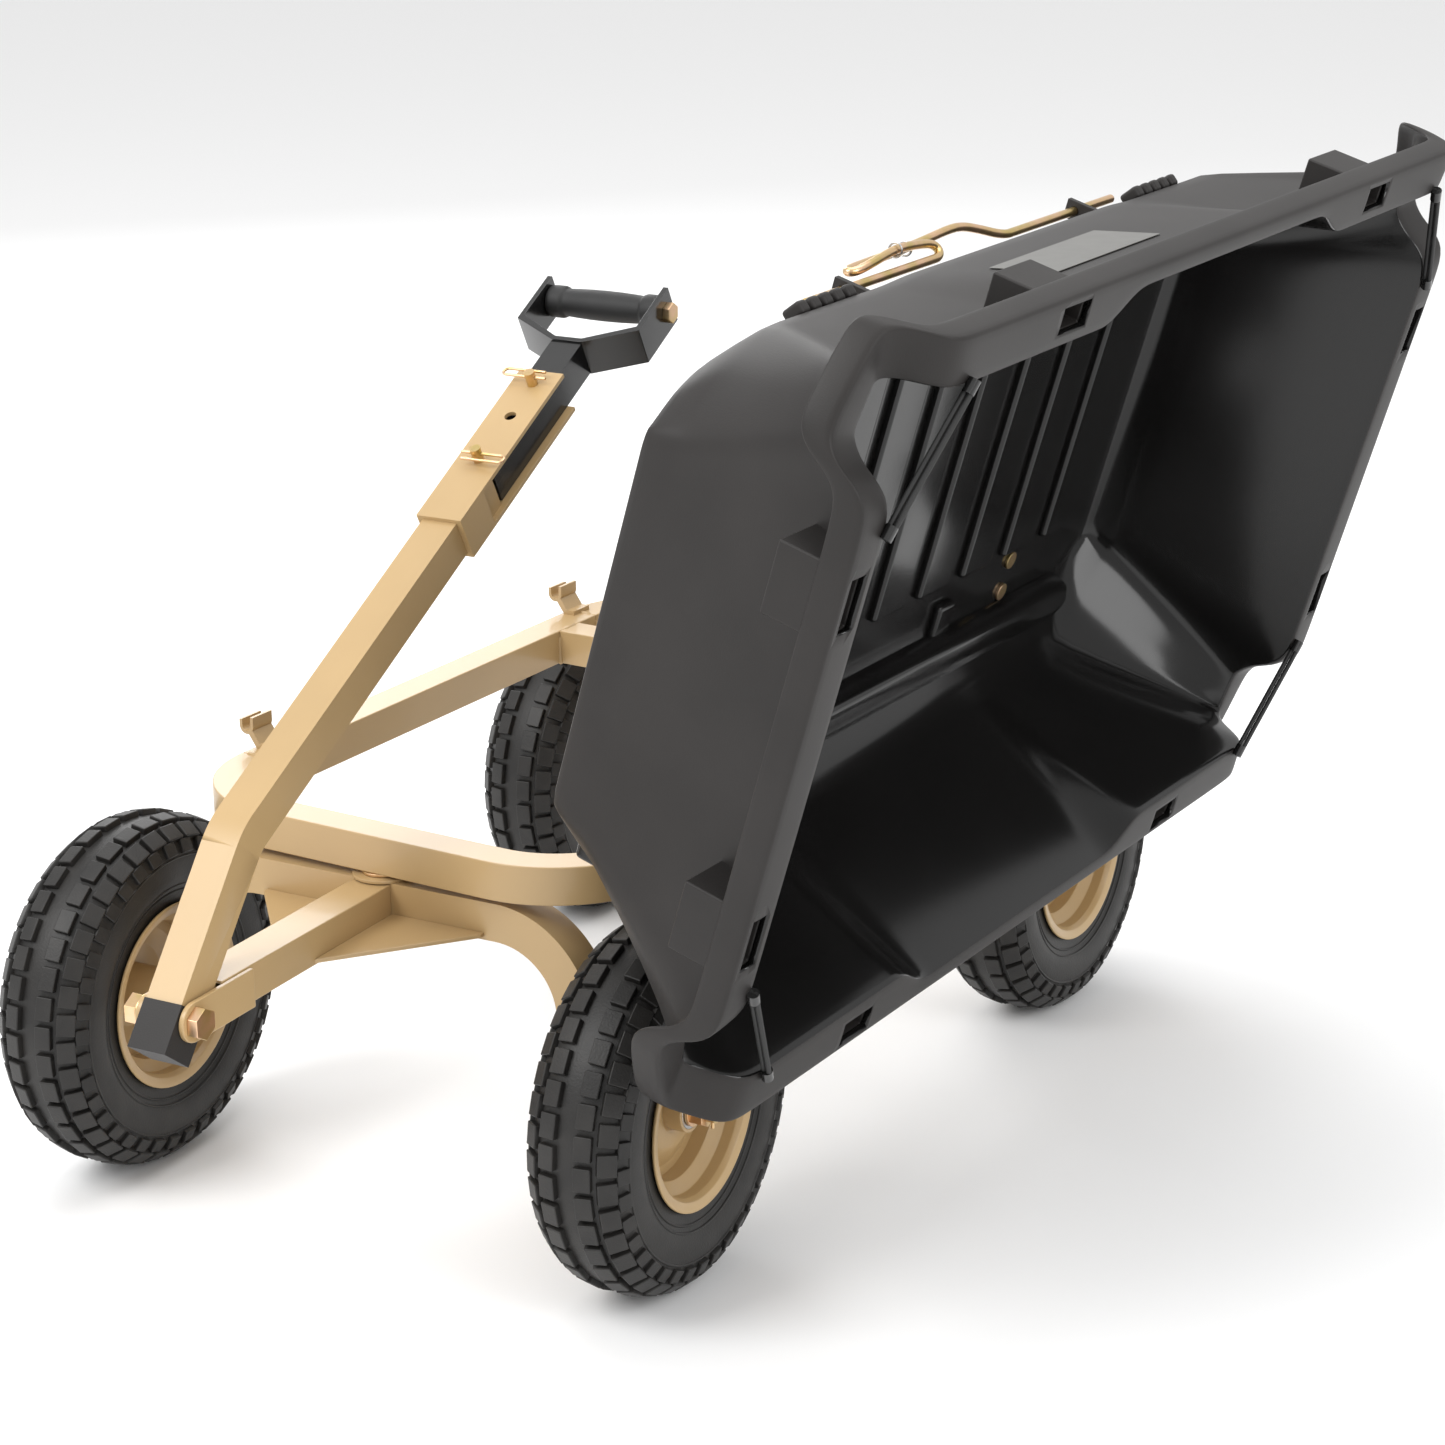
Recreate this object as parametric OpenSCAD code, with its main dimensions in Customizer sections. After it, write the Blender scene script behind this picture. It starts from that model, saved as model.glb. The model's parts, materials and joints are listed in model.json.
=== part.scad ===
// Four-wheel game cart: steered front axle, folding tongue with a pin hitch, and a side-tipping tub.
// Millimetres, +Z up, front of the cart towards -Y, cart's left towards +X.
// The tub is drawn in its carrying position and then tipped about its hinge line.

/* [Wheels] */
// Tyre outer diameter
tyre_d = 330; // [322:2:334]
// Tyre section width
tyre_w = 96; // [90:2:98]
// Distance between the left and right tyre centres
track = 554; // [548:2:566]
// Distance between the front and rear axles
wheelbase = 736; // [700:4:760]

/* [Frame] */
// Outside size of the square tube
tube = 35; // [32:1:36]
// Tube wall thickness
wall = 2.5; // [2:0.5:3]
// Distance from the cart's centre to the middle of a side rail
rail_x = 221.5; // [216:0.5:226]
// Height of the frame hoop's underside
frame_z = 331; // [331:0.5:333]
// Centreline radius of the hoop's corner bends
corner_r = 100; // [80:5:110]
// Place of the cross tube, forward of it is the open bay
cross_y = 218.5; // [160:0.5:230]

/* [Front axle] */
// Steering angle as the cart stands
steer_rest = 3.5; // [0:0.5:5]
// Half length of the axle tube's flat top
arch_flat = 125; // [115:1:127]
// Centreline radius of the axle tube's bends
arch_r = 77.5; // [70:0.5:80]
// How far the draw arm's clevis bolt is in front of the kingpin
clevis_y = 305; // [295:1:315]

/* [Tongue] */
// Slope of the tongue's lower length as the cart stands
lower_angle = 52; // [50:1:54]
// Slope of the tongue's upper length as the cart stands
upper_angle = 28; // [26:1:30]
// Length from the clevis bolt to the bend
lower_len = 156; // [150:1:170]
// Length from the bend to the tongue's upper end
upper_len = 434; // [414:5:444]

/* [Tub] */
// Depth of the tub
tub_h = 238; // [230:1:250]
// Thickness of the tub's moulded wall
skin = 5; // [4:0.5:6]
// How far the rim dips at the corners
dip = 48; // [30:1:50]
// How far the tub is tipped about its hinge
tip_rest = 106.8; // [106:0.1:108]

/* [Hidden] */
$fn = 48;

// colours
tan_paint = [0.86, 0.72, 0.50];
black_plastic = [0.16, 0.16, 0.16];
black_paint = [0.06, 0.06, 0.06];
rubber = [0.10, 0.10, 0.10];
zinc = [0.85, 0.70, 0.32];

// shared clearances
run_gap = 0.05;
body_gap = 0.4;

// wheels and spindles, along the wheel's own axis with 0 at the tyre's centre
wheel_r = tyre_d / 2;
spindle_r = 8;
spindle_end = 54;
hub_in = -47;
hub_out = 30;
hub_r = 21;
bearing_r = 17.5;
bearing_w = 11;
washer_t = 3;
nut_t = 12;
nut_af = 24;
cotter_r = 1.6;
cotter_x = 49.6;
leg_face = arch_flat + arch_r + tube / 2;

// frame heights
frame_mid = frame_z + tube / 2;
frame_top = frame_z + tube;
axle_top = 325;
axle_mid = axle_top - tube / 2;

// kingpin
kingpin_r = 8;
boss_r = 14;
boss_flange_r = 27;
boss_flange_t = 3;

// latch hooks on the right rail
hook_at = [-238, 268];
hook_w = 28;
hook_x = -246;
hook_z = 386;
rod_r = 4;

// hinge line of the tub
hinge_x = 232.7;
hinge_z = 389.6;
hinge_ys = [-300, 300];
hinge_pin_r = 6;
hinge_w = 28;
ear_t = 5;
ear_r = 13;

// draw arm and clevis
arm_w = 38;
arm_h = 33;
arm_end = 262;
clevis_z = 306;
clevis_t = 5;
clevis_r = 17;
clevis_back = 225;
tongue_bolt_r = 8;

// tongue and handle, in the tongue's own plane
tongue_end = 31;
cap_t = 1.1;
cap_top = 8;
bend_angle = lower_angle - upper_angle;
bend_r = 60;
bend_len = bend_r * tan(bend_angle / 2);
bracket_len = 202;
bracket_start = 369;
bracket_w = 46;
plate_t = 4;
closed_len = 42;
shaft_start = 70;
shaft_len = 180;
shaft_w = 32;
pin_r = 5;
upper_pin_at = 184;
lower_pin_at = 78;
hole_at = 139;
hole_r = 5.5;
clip_r = 1.4;
clip_gap = 8.4;
yoke_w = 38;
yoke_t = 5;
yoke_half = 60;
yoke_rise = 74;
yoke_knee = 24;
grip_r = 15;
grip_bolt_r = 5;

// tub outline, as [end half width, end y, side half length, side half width, height]
floor_ring = [159, 478, 425, 205, 0];
knee_ring = [170, 484, 391, 258, 39];
rim_ring = [245, 549, 505, 328, tub_h];
flange = 14;
skirt = 26;
inset = 24;
bed_shift = -18;
floor_z = 388;

// stake pockets, as places along the wall
side_pocket_y = 300;
end_pocket_x = 145;
pocket_len = 60;
pocket_hole = 46;
pocket_deep = 62;

// lift rod in the tub's frame: its straight ends turn in brackets, and the loop between them is the handle
rod_axis = [-228, -2];
rod_ends = [-262, 292];
loop_r = 3.9;
loop_sides = 12;
loop_path = [
  [-228, -44, -2], [-229, -36, -4], [-232, -32, -9], [-235, -37, -13], [-237, -50, -15],
  [-240, -90, -16], [-239, -112, -15], [-234, -148, -14], [-231, -160, -16], [-229, -164, -21],
  [-228, -158, -25], [-228, -146, -26], [-229, -80, -26], [-232, -32, -25], [-237, 10, -23],
  [-237, 30, -21], [-233, 52, -15], [-229, 72, -6], [-228, 84, -2]
];

// overall box, which places the origin under the middle of the whole cart
rim_v = rim_ring[3] + flange;
x_high = hinge_x + (bed_shift - rim_v - hinge_x) * cos(tip_rest)
       + (tub_h + floor_z - hinge_z) * sin(tip_rest);
x_low = -(track + tyre_w) / 2 - 8;
y_high = rim_ring[1] + flange;
y_low = -wheelbase / 2 - clevis_y - 35;
origin = [(x_high + x_low) / 2, (y_high + y_low) / 2, 0];

// ---- places -------------------------------------------------------------

module placed() {
  translate(-origin) children();
}

module at_kingpin() {
  placed() translate([0, -wheelbase / 2, 0]) rotate([0, 0, steer_rest]) children();
}

// tongue plane: first axis runs up the lower length, second axis is its upper side
module at_clevis() {
  at_kingpin() translate([0, -clevis_y, clevis_z]) children();
}

// children are drawn along +X of a frame that climbs at the given slope towards the rear
module climb(angle) {
  rotate([0, 0, 90]) rotate([0, -angle, 0]) children();
}

module at_upper() {
  at_clevis() climb(lower_angle) translate([lower_len, 0, 0]) rotate([0, bend_angle, 0]) children();
}

module at_bracket() {
  at_upper() translate([bracket_start, 0, 0]) children();
}

module in_tub() {
  placed()
    translate([hinge_x, 0, hinge_z])
      rotate([0, tip_rest, 0])
        translate([bed_shift - hinge_x, 0, floor_z - hinge_z])
          children();
}

module left_and_right() {
  children();
  mirror([1, 0, 0]) children();
}

module front_wheel_place(side) {
  at_kingpin() translate([side * track / 2, 0, wheel_r]) mirror([side < 0 ? 1 : 0, 0, 0]) children();
}

module rear_wheel_place(side) {
  placed()
    translate([side * track / 2, wheelbase / 2, wheel_r])
      mirror([side < 0 ? 1 : 0, 0, 0])
        children();
}

// ---- small shapes -------------------------------------------------------

module tube_profile(w, h) {
  difference() {
    square([w, h], center = true);
    square([w - 2 * wall, h - 2 * wall], center = true);
  }
}

module x_bar(x0, x1, r) {
  translate([x0, 0, 0]) rotate([0, 90, 0]) cylinder(h = x1 - x0, r = r);
}

module x_ring(x0, x1, r_out, r_in) {
  difference() {
    x_bar(x0, x1, r_out);
    x_bar(x0 - 1, x1 + 1, r_in);
  }
}

module x_nut(x0, t, across_flats, r_in) {
  difference() {
    translate([x0, 0, 0]) rotate([0, 90, 0]) cylinder(h = t, d = across_flats / cos(30), $fn = 6);
    x_bar(x0 - 1, x0 + t + 1, r_in);
  }
}

module bar_between(p, q, r) {
  d = q - p;
  len = norm(d);
  translate(p) rotate([0, acos(d[2] / len), atan2(d[1], d[0])]) cylinder(h = len, r = r, $fn = 24);
}

// ---- frame --------------------------------------------------------------

module bow(end) {
  half = rail_x - corner_r;
  translate([0, end * wheelbase / 2, frame_mid]) {
    rotate([90, 0, 90]) linear_extrude(2 * half, center = true) tube_profile(tube, tube);
    for (side = [-1, 1])
      translate([side * half, -end * corner_r, 0])
        rotate([0, 0, end > 0 ? (side > 0 ? 0 : 90) : (side > 0 ? 270 : 180)])
          rotate_extrude(angle = 90)
            translate([corner_r, 0]) tube_profile(tube, tube);
  }
}

module side_rail(side) {
  translate([side * rail_x, 0, frame_mid])
    rotate([90, 0, 0])
      linear_extrude(wheelbase - 2 * corner_r, center = true) tube_profile(tube, tube);
}

module front_bow() {
  color(tan_paint) placed() bow(-1);
}

module rear_bow() {
  color(tan_paint) placed() bow(1);
}

module left_rail() {
  color(tan_paint) placed() side_rail(1);
}

module right_rail() {
  color(tan_paint) placed() side_rail(-1);
}

module crossmember() {
  color(tan_paint)
    placed()
      translate([0, cross_y, frame_mid])
        rotate([90, 0, 90])
          linear_extrude(2 * rail_x - tube, center = true) tube_profile(tube, tube);
}

// one bent tube: flat top, two bends and two legs with a spindle hole in each
module arch(top_z) {
  bend_z = top_z - tube / 2 - arch_r;
  leg_low = wheel_r - 22;
  difference() {
    union() {
      translate([0, 0, top_z - tube / 2])
        rotate([90, 0, 90]) linear_extrude(2 * arch_flat, center = true) tube_profile(tube, tube);
      left_and_right() {
        translate([arch_flat, 0, bend_z])
          rotate([90, 0, 0]) rotate_extrude(angle = 90) translate([arch_r, 0]) tube_profile(tube, tube);
        translate([arch_flat + arch_r, 0, leg_low])
          linear_extrude(bend_z - leg_low) tube_profile(tube, tube);
      }
    }
    translate([0, 0, wheel_r]) x_bar(-leg_face - 1, leg_face + 1, spindle_r);
  }
}

module rear_axle_tube() {
  color(tan_paint) placed() translate([0, wheelbase / 2, 0]) arch(frame_z);
}

module spindle() {
  difference() {
    x_bar(leg_face - tube - track / 2, spindle_end, spindle_r);
    translate([cotter_x, 0, -spindle_r - 1]) cylinder(h = 2 * spindle_r + 2, r = cotter_r);
  }
}

module wheel_washers() {
  x_ring(leg_face - track / 2, hub_in - body_gap, 12, spindle_r);
  x_ring(hub_out + body_gap, hub_out + body_gap + washer_t, 15, spindle_r);
}

module wheel_nut() {
  x_nut(hub_out + body_gap + washer_t, nut_t, nut_af, spindle_r);
}

module cotter() {
  translate([cotter_x, 0, -14]) cylinder(h = 28, r = cotter_r);
}

module rear_spindles() {
  color(zinc) for (side = [-1, 1]) rear_wheel_place(side) spindle();
}

module rear_wheel_washers() {
  color(zinc) for (side = [-1, 1]) rear_wheel_place(side) wheel_washers();
}

module rear_wheel_nuts() {
  color(zinc) for (side = [-1, 1]) rear_wheel_place(side) wheel_nut();
}

module rear_cotters() {
  color(zinc) for (side = [-1, 1]) rear_wheel_place(side) cotter();
}

module kingpin() {
  color(zinc)
    placed()
      translate([0, -wheelbase / 2, axle_top - tube - 24])
        cylinder(h = frame_z - axle_top + tube + 24, r = kingpin_r);
}

// thrust washer above the boss, and a washer and a nut below the axle tube
module kingpin_hardware() {
  low = axle_top - tube - body_gap;
  color(zinc) placed() translate([0, -wheelbase / 2, 0]) {
    difference() {
      translate([0, 0, axle_top + boss_flange_t + body_gap])
        cylinder(h = frame_z - axle_top - boss_flange_t - body_gap, r = 19);
      translate([0, 0, axle_top]) cylinder(h = frame_z, r = kingpin_r);
    }
    difference() {
      translate([0, 0, low - washer_t]) cylinder(h = washer_t, r = 20);
      translate([0, 0, low - 20]) cylinder(h = 40, r = kingpin_r);
    }
    difference() {
      translate([0, 0, low - washer_t - nut_t]) cylinder(h = nut_t, d = nut_af / cos(30), $fn = 6);
      translate([0, 0, low - 30]) cylinder(h = 60, r = kingpin_r);
    }
  }
}

// open clip that takes the lift rod from above, on a foot welded to the rail
module hook_profile() {
  difference() {
    union() {
      circle(r = 8);
      translate([-8, 0]) square([16, 6]);
      translate([4.8, 0]) square([3.2, 9]);
      polygon([[2, -7], [7, -4], [15, -15.5], [24, -15.5], [24, -20], [11, -20]]);
    }
    circle(r = 4.8);
    translate([-4.8, 0]) square([9.6, 20]);
  }
}

module latch_hooks() {
  color(tan_paint)
    placed()
      for (y = hook_at)
        translate([hook_x, y + hook_w / 2, hook_z])
          rotate([90, 0, 0]) linear_extrude(hook_w) hook_profile();
}

module hinge_ear(y) {
  difference() {
    union() {
      translate([hinge_x, y + ear_t, hinge_z]) rotate([90, 0, 0]) cylinder(h = ear_t, r = ear_r);
      translate([hinge_x - ear_r, y, frame_top]) cube([2 * ear_r, ear_t, hinge_z - frame_top]);
    }
    translate([hinge_x, y + ear_t + 1, hinge_z]) rotate([90, 0, 0]) cylinder(h = ear_t + 2, r = hinge_pin_r);
  }
}

module hinge_brackets() {
  color(tan_paint)
    placed()
      for (y = hinge_ys) {
        hinge_ear(y - hinge_w / 2 - body_gap - ear_t);
        hinge_ear(y + hinge_w / 2 + body_gap);
      }
}

module hinge_pins() {
  reach = hinge_w / 2 + ear_t + 4;
  color(zinc)
    placed()
      for (y = hinge_ys)
        translate([hinge_x, y + reach, hinge_z]) rotate([90, 0, 0]) cylinder(h = 2 * reach, r = hinge_pin_r);
}

// ---- front axle ---------------------------------------------------------

module front_axle_tube() {
  color(tan_paint) at_kingpin() difference() {
    arch(axle_top);
    translate([0, 0, axle_top - tube - 1]) cylinder(h = tube + 2, r = boss_r);
  }
}

module kingpin_boss() {
  color(tan_paint) at_kingpin() difference() {
    union() {
      translate([0, 0, axle_top - tube]) cylinder(h = tube, r = boss_r);
      translate([0, 0, axle_top]) cylinder(h = boss_flange_t, r = boss_flange_r);
    }
    translate([0, 0, axle_top - tube - 1]) cylinder(h = tube + 10, r = kingpin_r + run_gap);
  }
}

module front_spindles() {
  color(zinc) for (side = [-1, 1]) front_wheel_place(side) spindle();
}

module front_wheel_washers() {
  color(zinc) for (side = [-1, 1]) front_wheel_place(side) wheel_washers();
}

module front_wheel_nuts() {
  color(zinc) for (side = [-1, 1]) front_wheel_place(side) wheel_nut();
}

module front_cotters() {
  color(zinc) for (side = [-1, 1]) front_wheel_place(side) cotter();
}

module draw_arm() {
  color(tan_paint)
    at_kingpin()
      translate([0, -tube / 2, axle_mid])
        rotate([90, 0, 0]) linear_extrude(arm_end - tube / 2) tube_profile(arm_w, arm_h);
}

module gussets() {
  color(tan_paint)
    at_kingpin()
      left_and_right()
        translate([0, 0, axle_top - tube + 3])
          linear_extrude(4)
            polygon([
              [arm_w / 2, -tube / 2], [arm_w / 2 + 95, -tube / 2],
              [arm_w / 2 + 95, -tube / 2 - 5], [arm_w / 2, -tube / 2 - 118]
            ]);
}

module clevis_plates() {
  color(tan_paint)
    at_kingpin()
      left_and_right()
        difference() {
          union() {
            translate([0, -clevis_y, clevis_z]) x_bar(arm_w / 2, arm_w / 2 + clevis_t, clevis_r);
            translate([arm_w / 2, -clevis_y, clevis_z - clevis_r])
              cube([clevis_t, clevis_y - clevis_back, 2 * clevis_r]);
          }
          translate([0, -clevis_y, clevis_z]) x_bar(0, arm_w, tongue_bolt_r);
        }
}

module tongue_bolt() {
  head = arm_w / 2 + clevis_t;
  color(zinc) at_clevis() {
    x_bar(-head - 18, head, tongue_bolt_r);
    translate([head, 0, 0]) rotate([0, 90, 0]) cylinder(h = 10, d = nut_af / cos(30), $fn = 6);
  }
}

module tongue_nut() {
  face = arm_w / 2 + clevis_t;
  color(zinc) at_clevis() {
    x_ring(-face - 2.5, -face, 15, tongue_bolt_r);
    x_nut(-face - 14.5, 12, nut_af, tongue_bolt_r);
  }
}

// ---- tongue and handle --------------------------------------------------

module tongue_tube() {
  color(tan_paint) difference() {
    union() {
      at_clevis() climb(lower_angle) translate([-tongue_end, 0, 0])
        rotate([90, 0, 90]) linear_extrude(tongue_end + lower_len - bend_len) tube_profile(tube, tube);
      at_clevis() climb(lower_angle) translate([lower_len - bend_len, 0, -bend_r])
        rotate([90, 0, 0]) rotate([0, 0, 90 - bend_angle])
          rotate_extrude(angle = bend_angle) translate([bend_r, 0]) tube_profile(tube, tube);
      at_upper() translate([bend_len, 0, 0])
        rotate([90, 0, 90]) linear_extrude(upper_len - bend_len) tube_profile(tube, tube);
    }
    at_clevis() x_bar(-tube, tube, tongue_bolt_r + run_gap);
  }
}

module tongue_cap() {
  out = tube + 2 * cap_t;
  color(black_plastic) difference() {
    at_clevis() climb(lower_angle) difference() {
      translate([-tongue_end - 3, -out / 2, -out / 2]) cube([tongue_end + 3 + cap_top, out, out]);
      translate([-tongue_end, -tube / 2, -tube / 2]) cube([tongue_end + cap_top + 1, tube, tube]);
    }
    at_clevis() x_bar(-tube, tube, tongue_bolt_r + 1);
  }
}

// sleeve over the tongue's end that carries on as two plates, one in front and one behind
module hitch_bracket() {
  high = tube + 2 * plate_t;
  open_w = 2 * bracket_w;
  color(tan_paint) at_bracket() difference() {
    translate([0, -bracket_w / 2, -high / 2]) cube([bracket_len, bracket_w, high]);
    translate([-1, -tube / 2, -tube / 2]) cube([upper_len - bracket_start + 1, tube, tube]);
    translate([closed_len, -open_w / 2, -tube / 2]) cube([bracket_len, open_w, tube]);
    for (x = [upper_pin_at, lower_pin_at])
      translate([x, 0, -high]) cylinder(h = 2 * high, r = pin_r);
    translate([hole_at, 0, -high]) cylinder(h = 2 * high, r = hole_r);
  }
}

module handle_shaft() {
  clear = tube - 2 * body_gap;
  color(black_paint) at_bracket() difference() {
    translate([shaft_start, -shaft_w / 2, -clear / 2]) cube([shaft_len, shaft_w, clear]);
    for (x = [upper_pin_at, lower_pin_at])
      translate([x, 0, -tube]) cylinder(h = 2 * tube, r = pin_r);
    translate([hole_at, 0, -tube]) cylinder(h = 2 * tube, r = hole_r);
  }
}

// flat bar bent to a shallow U, whose arms hold the grip
module handle_yoke() {
  base = shaft_start + shaft_len;
  color(black_paint) at_bracket() translate([base, 0, 0]) difference() {
    translate([0, 0, -yoke_w / 2]) linear_extrude(yoke_w) difference() {
      polygon([
        [0, -16], [0, 16], [yoke_knee, yoke_half + yoke_t], [yoke_rise + 13, yoke_half + yoke_t],
        [yoke_rise + 13, -yoke_half - yoke_t], [yoke_knee, -yoke_half - yoke_t]
      ]);
      polygon([
        [yoke_t, -14], [yoke_t, 14], [yoke_knee + yoke_t, yoke_half], [yoke_rise + 14, yoke_half],
        [yoke_rise + 14, -yoke_half], [yoke_knee + yoke_t, -yoke_half]
      ]);
    }
    translate([yoke_rise, yoke_half * 2, 0]) rotate([90, 0, 0]) cylinder(h = 4 * yoke_half, r = grip_bolt_r);
  }
}

module at_grip() {
  at_bracket() translate([shaft_start + shaft_len + yoke_rise, 0, 0]) children();
}

module grip() {
  color(rubber) at_grip() rotate([90, 0, 0]) difference() {
    cylinder(h = 2 * yoke_half - 2, r = grip_r, center = true);
    cylinder(h = 3 * yoke_half, r = grip_bolt_r, center = true);
  }
}

module grip_bolt() {
  half = yoke_half + yoke_t;
  color(zinc) at_grip() rotate([90, 0, 0]) {
    cylinder(h = 2 * half, r = grip_bolt_r, center = true);
    for (turn = [0, 180]) rotate([turn, 0, 0])
      translate([0, 0, half]) cylinder(h = 7, d = 17 / cos(30), $fn = 6);
  }
}

module clevis_pin(at) {
  high = tube / 2 + plate_t;
  color(zinc) at_bracket() translate([at, 0, 0]) difference() {
    union() {
      translate([0, 0, -high - 3]) cylinder(h = 2 * high + 17, r = pin_r);
      translate([0, 0, -high - 6]) cylinder(h = 6, r = 9);
    }
    translate([0, -12, high + 8]) rotate([-90, 0, 0]) cylinder(h = 24, r = 1.8);
  }
}

module upper_pin() {
  clevis_pin(upper_pin_at);
}

module lower_pin() {
  clevis_pin(lower_pin_at);
}

// spring clip: one leg through the pin, a half turn and a second leg beside the pin
module hairpin(at, turn) {
  color(zinc)
    at_bracket()
      translate([at, 0, tube / 2 + plate_t + 8])
        rotate([0, 0, turn]) {
          translate([0, 26, 0]) rotate([90, 0, 0]) cylinder(h = 42, r = clip_r);
          translate([clip_gap, 26, 0]) rotate([90, 0, 0]) cylinder(h = 38, r = clip_r);
          translate([clip_gap / 2, 26, 0])
            rotate_extrude(angle = 180) translate([clip_gap / 2, 0]) circle(r = clip_r);
        }
}

module hairpin_upper() {
  hairpin(upper_pin_at, 0);
}

module hairpin_lower() {
  hairpin(lower_pin_at, 180);
}

// ---- tub ----------------------------------------------------------------

// one corner of a ring, from the side wall round to the end wall: [across, along, share of the dip]
function corner_points(ring, grow, step) =
  let (a = ring[0] + grow * 0.5, l = ring[1] + grow - step, b = ring[2] + grow * 0.5, w = ring[3] + grow, s = w - step)
  [
    [w, 190, 0], [s, 225, 0], [s, b - 45, 0], [s, b - 20, 0.35], [s, b, 0.9],
    [s + (a - s) * 0.25, b + (l - b) * 0.25, 1], [s + (a - s) * 0.75, b + (l - b) * 0.75, 1],
    [a, l, 0.9], [a - 20, l, 0.35], [a - 45, l, 0]
  ];

// a whole ring at height z, lowered by drop at the corners
function full_ring(ring, grow, step, z, drop) =
  let (c = corner_points(ring, grow, step), n = len(c) - 1)
  concat(
    [for (i = [0:n]) [c[i][0], c[i][1], z - drop * c[i][2]]],
    [for (i = [n:-1:0]) [-c[i][0], c[i][1], z - drop * c[i][2]]],
    [for (i = [0:n]) [-c[i][0], -c[i][1], z - drop * c[i][2]]],
    [for (i = [n:-1:0]) [c[i][0], -c[i][1], z - drop * c[i][2]]]
  );

under = tub_h - skin;
tub_rings = [
  full_ring(floor_ring, 0, 0, 0, 0),
  full_ring(knee_ring, 0, 2, knee_ring[4], 0),
  full_ring(rim_ring, -2, inset, under, dip),
  full_ring(rim_ring, flange - 4, 0, under, dip),
  full_ring(rim_ring, flange - 4, 0, tub_h - skirt, dip),
  full_ring(rim_ring, flange, 0, tub_h - skirt, dip),
  full_ring(rim_ring, flange, 0, tub_h, dip),
  full_ring(rim_ring, -skin, inset, tub_h, dip),
  full_ring(knee_ring, -skin, 2, knee_ring[4], 0),
  full_ring(floor_ring, -skin, 0, skin, 0)
];

module tub_shell() {
  rings = len(tub_rings);
  n = len(tub_rings[0]);
  sides = [
    for (r = [0:rings - 2], i = [0:n - 1], half = [0, 1])
      let (a = r * n + i, b = r * n + (i + 1) % n, c = a + n, d = b + n)
      half == 0 ? [a, c, b] : [b, c, d]
  ];
  bottom = [for (i = [0:n - 1]) i];
  top = [for (i = [n - 1:-1:0]) (rings - 1) * n + i];
  polyhedron(points = [for (r = tub_rings) each r], faces = concat([bottom], sides, [top]));
}

// moulded block under the flange, open at the top for a stake
module pocket_block() {
  low = tub_h - pocket_deep;
  translate([pocket_len / 2, 0, 0]) rotate([90, 0, -90])
    linear_extrude(pocket_len) polygon([[1, low], [54, low], [40, under], [1, under]]);
}

module pocket_hole() {
  translate([-pocket_hole / 2, -30, tub_h - pocket_deep + 4]) cube([pocket_hole, 22, pocket_deep]);
}

module pockets() {
  for (s = [-1, 1], y = [-side_pocket_y, side_pocket_y])
    translate([s * rim_v, y, 0]) rotate([0, 0, s > 0 ? -90 : 90]) children();
  for (s = [-1, 1], x = [-end_pocket_x, end_pocket_x])
    translate([x, s * (rim_ring[1] + flange), 0]) rotate([0, 0, s > 0 ? 0 : 180]) children();
}

// one rib of the ribbed grip pads under the tub's long edges
module pad_rib() {
  translate([236, -6, 28]) rotate([0, 53.5, 0]) cube([12, 12, 20]);
}

module tub() {
  color(black_plastic) in_tub() difference() {
    union() {
      tub_shell();
      pockets() pocket_block();
      for (y = [-340:85:340]) translate([-180, y - 14, skin - 1]) cube([360, 28, 8]);
      for (s = [0, 1], e = [-1, 1], k = [-2:2]) mirror([s, 0, 0]) translate([0, e * 300 + 18 * k, 0]) pad_rib();
    }
    pockets() pocket_hole();
    for (y = hinge_ys, v = [150, 185]) translate([v, y, -9]) cylinder(h = 40, r = 4.2);
  }
}

// a barrel on the hinge pin with a strap that is bolted under the floor
module bed_hinges() {
  pivot_v = hinge_x - bed_shift;
  pivot_w = hinge_z - floor_z;
  color(tan_paint) in_tub() for (y = hinge_ys) difference() {
    union() {
      translate([pivot_v, y + hinge_w / 2, pivot_w]) rotate([90, 0, 0]) cylinder(h = hinge_w, r = 10);
      translate([130, y - hinge_w / 2, -4]) cube([pivot_v - 130, hinge_w, 4]);
    }
    translate([pivot_v, y + hinge_w, pivot_w]) rotate([90, 0, 0]) cylinder(h = 2 * hinge_w, r = hinge_pin_r + run_gap);
    for (v = [150, 185]) translate([v, y, -9]) cylinder(h = 20, r = 4);
  }
}

module bed_bolts() {
  color(zinc) in_tub() for (y = hinge_ys, v = [150, 185]) translate([v, y, 0]) {
    translate([0, 0, -13]) cylinder(h = 13 + skin, r = 4);
    translate([0, 0, skin]) cylinder(h = 3, r = 9);
    translate([0, 0, -10]) cylinder(h = 6, d = 13 / cos(30), $fn = 6);
  }
}

// plain badge on the upper side wall
module side_plate() {
  slope = atan2(rim_ring[3] - knee_ring[3], tub_h - knee_ring[4]);
  color([0.5, 0.5, 0.5])
    in_tub()
      translate([-knee_ring[3] - 0.5, -60, knee_ring[4]])
        rotate([0, -slope, 0]) translate([-0.8, -95, 60]) cube([0.8, 190, 62]);
}

// doubled elastic cord across each corner, held by a ferrule at each end
module corner_cord() {
  p = [rim_ring[3] - inset + 4, rim_ring[2] - 50, tub_h + 4];
  q = [rim_ring[0] - 52, rim_ring[1] - inset + 4, tub_h + 4];
  side = [0, 0, 2.6];
  bar_between(p - side + [0, 0, 1], q - side + [0, 0, 1], 2.5);
  bar_between(p + side + [0, 0, 1], q + side + [0, 0, 1], 2.5);
}

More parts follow.
